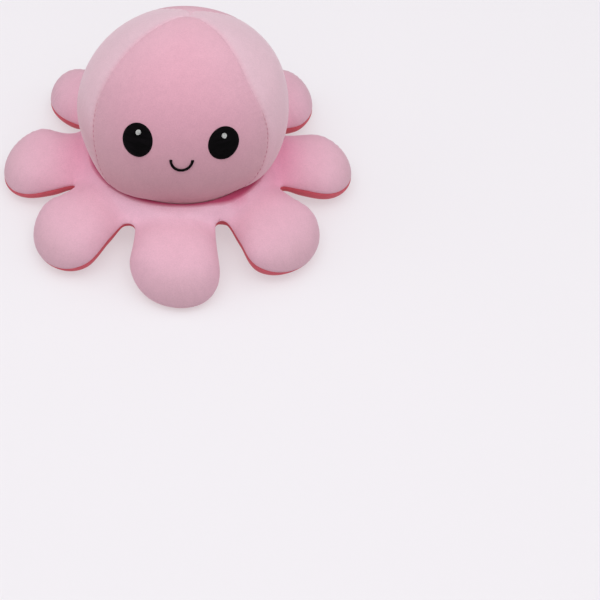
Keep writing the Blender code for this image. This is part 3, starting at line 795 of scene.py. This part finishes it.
class Head:
    """The stuffed head: an ellipsoid whose gores meet at a crown that leans back."""

    def __init__(self, top, neck_height):
        self.top = top
        self.centre = np.array([0.0, 0.0, top - HEAD_HALF_HEIGHT])
        self.neck_height = neck_height
        self.size = np.array([HEAD_RADIUS, HEAD_RADIUS, HEAD_HALF_HEIGHT])
        turn = Matrix.Rotation(CROWN_LEAN, 3, "Y") @ Matrix.Rotation(-CROWN_TILT, 3, "X")
        self.turn = np.array(turn)

    def radius_at(self, height):
        share = (height - self.centre[2]) / HEAD_HALF_HEIGHT
        return HEAD_RADIUS * math.sqrt(1.0 - share * share)

    def base(self, directions):
        """Places and normals on the plain ellipsoid, in the given directions."""
        places = self.centre + directions * self.size
        return places, unit(directions / self.size)

    def facing(self, directions):
        return unit(directions / self.size)

    def surface(self, directions):
        places, normals = self.base(directions)
        rise = places[..., 2] - self.centre[2]
        fade = smooth_step((rise - CHEEK_FOOT) / (CHEEK_LEVEL - CHEEK_FOOT))
        x, y, z = (directions[..., k] for k in range(3))
        lump = np.sin(2.3 * x + 1.1) * np.sin(2.9 * y + 0.4) + 0.7 * np.sin(3.7 * z + 2.0 * x)
        aside = np.arctan2(np.abs(x), -y)
        cheek = (1.0 - smooth_step((rise - CHEEK_LEVEL) / CHEEK_RUN))
        chin = np.where(x < 0, *CHIN_ANGLES)
        middle = np.exp(-(aside / chin) ** np.where(x < 0, *CHIN_POWERS))
        cheek = cheek * (np.where(x < 0, *CHEEKS) * (1.0 - middle) - CHIN_IN * middle)
        beside = smooth_step((aside - np.where(x < 0, *CHEEK_SIDES)) / CHEEK_SIDE_RUN)
        cheek = cheek * (1.0 - (1.0 - np.where(x < 0, *CHEEK_SIDE_SHARES)) * beside)
        crown = smooth_step((rise - CROWN_DROP_START) / CROWN_DROP_RUN)
        out = (LUMP * lump + cheek) * fade - CROWN_DROP * crown
        shift = (SHIFT + LEAN * smooth_step(rise / LEAN_RUN)) * fade
        places = places + normals * out[..., None]
        return places + shift[..., None] * np.array([1.0, 0.0, 0.0])

    def front(self, spot, across, rise):
        return from_the_front(self, spot, across, rise)


def from_the_front(form, spot, across, rise):
    """Places and normals on a form's front, for places in the plane that touches it at a spot.

    The spot is in the front view, from the form's centre. The plane's own axes point to
    the right and up along the form.
    """
    x, z = spot[0] / form.size[0], spot[1] / form.size[2]
    middle = np.array([x, -math.sqrt(1.0 - x ** 2 - z ** 2), z])
    facing = unit(middle / form.size)
    right = unit(np.cross((0.0, 0.0, 1.0), facing))
    up = np.cross(facing, right)
    places = middle * form.size + across[..., None] * right + rise[..., None] * up
    directions = unit(places / form.size)
    return form.surface(directions), form.facing(directions)


def seam_angle(seam, down):
    """Angle of a seam round the crown, at an angle down from the crown."""
    angle, low_turn, high_turn, high_reach = seam
    low = smooth_step((down - BOW_START) / BOW_RUN)
    high = np.exp(-(down / high_reach) ** 2)
    return np.radians(angle + low_turn * low + high_turn * high)


def seam_pair(seams, index):
    """A gore's two seams, the second one further round."""
    after = seams[(index + 1) % len(seams)]
    if index + 1 == len(seams):
        after = (after[0] + 360.0, *after[1:])
    return seams[index], after


def gore_shares(columns):
    """Places across a gore, closer together at its two seams."""
    share = np.linspace(0.0, 1.0, columns + 1)
    return share - 0.7 * np.sin(2 * math.pi * share) / (2 * math.pi)


def gore_grid(turn, seams, ends, rows, columns):
    """Directions over one gore, from the crown down, and how far each is from a seam."""
    share = gore_shares(columns)[None, :]
    down = np.linspace(0.0, 1.0, rows + 1)[:, None] * ends[None, :]
    low, high = (seam_angle(seam, down) for seam in seams)
    around = low + (high - low) * share
    directions = np.stack([
        np.sin(down) * np.cos(around),
        np.sin(down) * np.sin(around),
        np.cos(down),
    ], axis=2)
    to_low = np.sin(down) * np.sin(np.clip(around - low, 0.0, math.pi / 2))
    to_high = np.sin(down) * np.sin(np.clip(high - around, 0.0, math.pi / 2))
    return directions @ turn.T, np.minimum(to_low, to_high), down


def gore_ends(head, seams, level):
    """Angles from the crown at which the lines of a gore reach a level."""
    share = gore_shares(GORE_COLUMNS)
    low = np.full(GORE_COLUMNS + 1, math.pi / 2)
    high = np.full(GORE_COLUMNS + 1, math.pi)
    for _ in range(40):
        down = (low + high) / 2
        start, end = (seam_angle(seam, down) for seam in seams)
        around = start + (end - start) * share
        directions = np.stack([
            np.sin(down) * np.cos(around), np.sin(down) * np.sin(around), np.cos(down),
        ], axis=1) @ head.turn.T
        above = head.centre[2] + directions[:, 2] * HEAD_HALF_HEIGHT > level
        low = np.where(above, down, low)
        high = np.where(above, high, down)
    return low


def seam_groove(gap, run):
    """Depth of the seam at a distance from it, with small puckers along it."""
    inside = np.clip(1.0 - gap / SEAM_WIDTH, 0.0, 1.0)
    groove = SEAM_DEPTH * (1.0 - np.sqrt(1.0 - inside ** 2))
    ripple = np.sin(2 * math.pi * run / PUCKER_LENGTH)
    return groove + PUCKER * ripple * np.exp(-gap / PUCKER_REACH)


def build_head(head, finishes):
    level = head.neck_height + NECK_GAP
    for index, name in enumerate(GORES):
        seams = seam_pair(SEAMS, index)
        ends = gore_ends(head, seams, level)
        grid = gore_grid(head.turn, seams, ends, GORE_ROWS, GORE_COLUMNS)
        directions, gap, down = grid
        places = head.surface(directions)
        normals = head.base(directions)[1]
        gap = gap * HEAD_RADIUS
        depth = seam_groove(gap, down * HEAD_RADIUS)
        crown = 0.0010 * np.exp(-(down * HEAD_RADIUS / 0.004) ** 2)
        outer = places - normals * (depth + crown)[..., None]
        facing = grid_normals(outer, head.centre)
        facing[0] = facing[1].mean(axis=0)
        facing = unit(facing)
        inner = outer - normals * SKIN
        # The run of painted light and shade goes from the neck up to the crown; stitch pricks along the seams
        # pull it to the dark end
        shading_and_pricks = np.clip((outer[..., 2] - level) / (head.top - level), 0.0, 1.0)
        stitched = np.arange(GORE_ROWS + 1)[:, None] % PRICK_ROWS < 2
        prick = stitched * smooth_step(2.0 - 2.0 * gap / PRICK_SIZE)
        prick = prick * smooth_step((PRICK_TOP - shading_and_pricks) / PRICK_RUN)
        finish = finishes["front"] if name in ("front", "back") else finishes["side"]
        # Near the seams the tones blend into the next gore's; the front gore takes a painted sheen towards its
        # seams, the crown a painted sheen from the side gores, and the right gore painted shade low down
        mixed = SEAM_BLEND_SHARE * np.exp(-(gap / SEAM_BLEND_REACH) ** 2)
        crown_sheen = np.exp(-(down / CROWN_SHEEN_REACH) ** 2)
        if name == "front":
            mixed = np.maximum(mixed, SEAM_SHEEN_SHARE * np.exp(-(gap / SEAM_SHEEN_REACH) ** 2))
        elif name == "back":
            mixed = np.maximum(mixed, crown_sheen)
        else:
            mixed = mixed * (1.0 - crown_sheen)
        if name == "right":
            low = smooth_step((SIDE_SHADE_TOP - shading_and_pricks) / SIDE_SHADE_RUN)
            mixed = np.maximum(mixed, SIDE_SHADE_SHARE * low)
        shading_and_pricks = shading_and_pricks * (1.0 - PRICK_SHARE * prick)
        piece = shell("plush_head_" + name, outer, inner, facing, shading_and_pricks, finish, mixed)
        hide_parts("head_gore_" + name)
        if name == "front":
            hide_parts("head_filling")
        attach(piece, "body")


# Embroidery


def lay(name, surface, spot, across, rise, height, material):
    """A closed patch of stitches on a surface, from places round a spot on its front."""
    places, normals = surface.front(spot, across, rise)
    outer = places + normals * height[..., None]
    inner = places - normals * THREAD_SINK
    facing = grid_normals(outer, places - normals)
    return shell(name, outer, inner, facing, np.zeros(outer.shape[:2]), material)


def lay_eye(name, surface, spot, size, lean, brow, material):
    """An oval of satin stitch that leans, cut off along its brow where it has one."""
    width, height = size
    stitches = int(round(height / THREAD_PITCH))
    turn = np.linspace(-math.pi / 2, math.pi / 2, 4 * stitches + 1)[:, None]
    share = np.sin(np.linspace(-math.pi / 2, math.pi / 2, EYE_COLUMNS + 1))[None, :]
    half = np.cos(turn)
    x = share * half * width / 2
    z = np.sin(turn) * np.ones_like(share) * height / 2
    if brow is not None:
        rise, slant = brow
        z = np.minimum(z, rise + math.tan(slant) * x)
    across = x * math.cos(lean) - z * math.sin(lean)
    up = x * math.sin(lean) + z * math.cos(lean)
    ridge = THREAD_RIDGE * np.cos(2 * math.pi * z / THREAD_PITCH)
    dome = np.sqrt(np.clip(1.0 - share ** 2, 0.0, 1.0)) * np.sqrt(half)
    body = THREAD_RISE * np.minimum(dome * 1.6, 1.0)
    ridge = ridge * np.minimum(dome * 2, 1.0)
    return lay(name, surface, spot, across, up, body + ridge, material)


def lay_stroke(name, surface, spot, span, drop, stroke, smiling, material):
    """A curved column of satin stitch with rounded ends."""
    stitches = int(round(2.4 * span / THREAD_PITCH))
    share = np.linspace(-1.0, 1.0, 4 * stitches + 1)[:, None]
    turn = math.pi / 2 * share
    off = np.sin(np.linspace(-math.pi / 2, math.pi / 2, STROKE_COLUMNS + 1))[None, :]
    end = np.clip((1.0 - np.abs(share)) / 0.06, 0.0, 1.0)
    flare = 1.0 + SMILE_FLARE * np.exp(-((1.0 - np.abs(share)) / SMILE_FLARE_RUN) ** 2)
    half = stroke / 2 * flare * np.sqrt(1.0 - (1.0 - end) ** 2)
    bend = -1.0 if smiling else 1.0
    across = (span / 2 + off * half) * np.sin(turn)
    up = bend * (drop + off * half) * np.cos(turn)
    ridge = THREAD_RIDGE * np.cos(math.pi * stitches * share)
    dome = np.sqrt(np.clip(1.0 - off ** 2, 0.0, 1.0)) * np.sqrt(end)
    body = THREAD_RISE * np.minimum(dome * 1.2, 1.0)
    return lay(name, surface, spot, across, up, body + ridge * dome, material)


def finish_stitches(piece, cad_node):
    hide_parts(cad_node)
    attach(piece, "body")


def build_face(head, finishes):
    over = Raised(head, THREAD_RISE + THREAD_SINK)
    for side in ("left", "right"):
        eye = lay_eye(
            "stitched_eye_" + side, head, EYES[side], EYE_SIZES[side], EYE_LEANS[side],
            None, finishes["dark"],
        )
        finish_stitches(eye, "eye_" + side)
        glint = lay_eye(
            "stitched_glint_" + side, over, GLINTS[side], (GLINT_SIZE, GLINT_SIZE), 0.0,
            None, finishes["white"],
        )
        finish_stitches(glint, "eye_glint_" + side)
    smile = lay_stroke(
        "stitched_smile", head, SMILE, SMILE_SPAN, SMILE_DROP, SMILE_STROKE, True,
        finishes["dark"],
    )
    finish_stitches(smile, "mouth")


class Raised:
    """A surface that lies over another one by a fixed height."""

    def __init__(self, surface, rise):
        self.surface = surface
        self.rise = rise

    def front(self, spot, across, rise):
        places, normals = self.surface.front(spot, across, rise)
        return places + normals * self.rise, normals


# Pocket


class Pocket:
    """The second head, turned up into the first one, seen from inside."""

    def __init__(self):
        self.centre = np.array([0.0, 0.0, POCKET_SEAM])
        self.size = np.array([MOUTH_RADIUS, MOUTH_RADIUS, POCKET_DEPTH])
        self.turn = np.eye(3)

    def facing(self, directions):
        return -unit(directions / self.size)

    def surface(self, directions):
        places = self.centre + directions * self.size
        around = np.arctan2(directions[..., 1], directions[..., 0])
        up = np.clip(directions[..., 2], 0.0, 1.0)
        wave = np.sin(9 * around + 2.5 * np.sin(4 * up + 1.0)) + 0.6 * np.sin(14 * around - 5 * up)
        crease = np.sin(17 * up + 2.0 * np.sin(3 * around))
        amount = FOLD_DEPTH * (0.36 * wave + 0.16 * crease + 0.5) * smooth_step(up / 0.25)
        flat = np.exp(-((around + math.pi / 2) / 0.9) ** 2) * 0.8
        return places + self.facing(directions) * (amount * (1.0 - flat))[..., None]

    def front(self, spot, across, rise):
        return from_the_front(self, spot, across, rise)


def build_pocket(finishes):
    pocket = Pocket()
    ends = np.full(POCKET_COLUMNS + 1, math.pi / 2)
    for index, name in enumerate(GORES):
        seams = seam_pair(POCKET_SEAMS, index)
        grid = gore_grid(pocket.turn, seams, ends, POCKET_ROWS, POCKET_COLUMNS)
        directions, gap, down = grid
        places, inward = pocket.surface(directions), pocket.facing(directions)
        depth = seam_groove(gap * MOUTH_RADIUS, down * MOUTH_RADIUS)
        face = places - inward * depth[..., None]
        facing = grid_normals(face, face - inward)
        facing[0] = facing[1].mean(axis=0)
        back = face - inward * SKIN
        shading_and_pricks = np.full(face.shape[:2], 0.3)
        piece = shell("plush_pocket_" + name, face, back, unit(facing), shading_and_pricks, finishes["inner"])
        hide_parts("pocket_gore_" + name)
        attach(piece, "body")
    build_pocket_face(pocket, finishes)


def build_pocket_face(pocket, finishes):
    over = Raised(pocket, THREAD_RISE + THREAD_SINK)
    for side, sign in (("left", 1.0), ("right", -1.0)):
        eye = lay_eye(
            "stitched_pocket_eye_" + side, pocket, POCKET_EYES[side], POCKET_EYE_SIZE, 0.0,
            (POCKET_BROW_RISE, sign * POCKET_BROW_SLANT), finishes["dark"],
        )
        finish_stitches(eye, "pocket_eye_" + side)
        glint = lay_eye(
            "stitched_pocket_glint_" + side, over, POCKET_GLINTS[side],
            (GLINT_SIZE, GLINT_SIZE), 0.0, None, finishes["white"],
        )
        finish_stitches(glint, "pocket_eye_glint_" + side)
    frown = lay_stroke(
        "stitched_frown", pocket, FROWN, FROWN_SPAN, FROWN_DROP, SMILE_STROKE, False,
        finishes["dark"],
    )
    finish_stitches(frown, "pocket_mouth")


# Stage


def add_floor():
    bpy.ops.mesh.primitive_plane_add(size=40.0)
    floor = bpy.context.object
    floor.name = "floor"
    material, tree, shader = new_material("pale_floor")
    shader.inputs["Base Color"].default_value = (0.36, 0.35, 0.365, 1.0)
    shader.inputs["Roughness"].default_value = 0.9
    shader.inputs["Specular IOR Level"].default_value = 0.0
    shader.inputs["Emission Color"].default_value = (0.985, 0.95, 0.99, 1.0)
    shader.inputs["Emission Strength"].default_value = 0.5
    floor.data.materials.append(material)


def add_light(name, location, size, power, colour=(1.0, 1.0, 1.0)):
    light = bpy.data.lights.new(name, "AREA")
    light.size = size
    light.energy = power
    light.color = colour
    made = bpy.data.objects.new(name, light)
    made.location = location
    made.rotation_euler = (-Vector(location)).to_track_quat("-Z", "Y").to_euler()
    bpy.context.scene.collection.objects.link(made)


def add_lights():
    world = bpy.data.worlds.new("studio")
    world.use_nodes = True
    background = world.node_tree.nodes["Background"]
    background.inputs["Color"].default_value = (1.0, 0.985, 1.0, 1.0)
    background.inputs["Strength"].default_value = 0.06
    bpy.context.scene.world = world
    add_light("front", (0.0, -0.75, 1.3), 1.5, 13.4)
    add_light("left", (-1.06, 0.0, 1.06), 1.5, 8.3)
    add_light("right", (1.06, 0.0, 1.06), 1.5, 8.5)
    add_light("back", (0.0, 0.75, 1.3), 1.5, 4.9)
    add_light("top", (0.0, 0.0, 1.5), 1.5, 3.2)
    bpy.context.scene.view_settings.view_transform = "Standard"


def add_camera():
    """Stand where the photograph was taken, then turn until the toy is where it was."""
    lens = bpy.data.cameras.new("camera")
    lens.sensor_width = SENSOR * 1000
    lens.lens = LENS * 1000
    lens.clip_start = 0.01
    camera = bpy.data.objects.new("camera", lens)
    bpy.context.scene.collection.objects.link(camera)
    bpy.context.scene.camera = camera
    back = Vector((
        math.sin(CAMERA_ORBIT) * math.cos(CAMERA_ELEVATION),
        -math.cos(CAMERA_ORBIT) * math.cos(CAMERA_ELEVATION),
        math.sin(CAMERA_ELEVATION),
    ))
    aim = Vector((0.0, 0.0, AIM_HEIGHT))
    focal = LENS / SENSOR * PHOTO_SIZE
    right = (AIM_PIXEL[0] - PHOTO_SIZE / 2) / focal
    down = (AIM_PIXEL[1] - PHOTO_SIZE / 2) / focal
    offset = Vector((right, -down, -1.0)).rotation_difference(Vector((0.0, 0.0, -1.0)))
    camera.location = aim + back * CAMERA_DISTANCE
    camera.rotation_mode = "QUATERNION"
    camera.rotation_quaternion = (-back).to_track_quat("-Z", "Y") @ offset


def main():
    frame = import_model()
    add_camera()
    finishes = {
        "outer": plush("pink_plush", LIMB_TONES, 0.25, PINK_SHEEN, SHADED_LIMB_TONES),
        "front": plush("pink_plush_front", FRONT_TONES, 0.25, PINK_SHEEN, SIDE_TONES),
        "side": plush("pink_plush_side", SIDE_TONES, 0.5, PINK_SHEEN, FRONT_TONES),
        "inner": plush("coral_plush", CORAL_TONES, 0.15, CORAL_SHEEN),
        "dark": thread("dark_thread", (0.0012, 0.0010, 0.0012, 1), (0.004, 0.003, 0.004, 1), 0.7, 0.05),
        "white": thread("white_thread", (0.36, 0.37, 0.36, 1), (0.58, 0.59, 0.58, 1), 0.5, 0.25),
    }
    gores = [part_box("head_gore_" + name) for name in GORES]
    top = max(high.z for low, high in gores)
    bottom = min(low.z for low, high in gores)
    head = Head(top, bottom - NECK_GAP)
    build_skirt(frame, head, finishes)
    build_head(head, finishes)
    build_face(head, finishes)
    build_pocket(finishes)
    add_floor()
    add_lights()


main()
